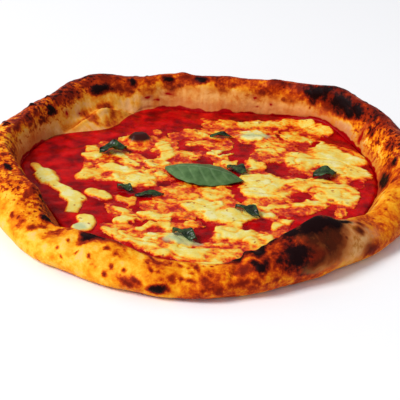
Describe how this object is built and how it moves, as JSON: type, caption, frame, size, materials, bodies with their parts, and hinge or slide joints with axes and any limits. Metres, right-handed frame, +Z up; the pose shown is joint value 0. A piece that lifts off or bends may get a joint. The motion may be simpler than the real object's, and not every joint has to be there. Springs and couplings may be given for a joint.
{
  "type": "margherita pizza",
  "caption": "Round wood-fired margherita pizza with a high, blistered rim, tomato sauce, melted mozzarella, baked basil and a fresh basil leaf on top.",
  "frame": {"origin": "middle of the flat underside's bounding box, on the surface that the pizza rests on", "axes": "+Z up, -Y towards the viewer of the shown side, +X to that viewer's right"},
  "size_m": [0.2992, 0.2854, 0.0361],
  "materials": {
    "baked_crust": "baked bread dough, cream to golden with dark brown and black char spots, satin where oily",
    "tomato_sauce": "wet crushed tomato, deep red, glossy",
    "melted_mozzarella": "melted mozzarella with olive oil, pale yellow turning orange where it is thin, glossy",
    "fresh_basil": "fresh basil leaf, mid-green, soft satin",
    "baked_basil": "oven-baked basil, wilted, near-black green, oily"
  },
  "bodies": {
    "root": {"crust": "baked_crust", "sauce": "tomato_sauce", "cheese_sheet": "melted_mozzarella", "cheese_crescent": "melted_mozzarella", "cheese_oval": "melted_mozzarella", "cheese_scrap": "melted_mozzarella", "fresh_leaf": "fresh_basil", "baked_leaf_1": "baked_basil", "baked_leaf_2": "baked_basil", "baked_leaf_3": "baked_basil", "baked_leaf_4": "baked_basil", "baked_leaf_5": "baked_basil", "baked_leaf_6": "baked_basil", "baked_leaf_7": "baked_basil", "baked_leaf_8": "baked_basil"}
  },
  "joints": []
}
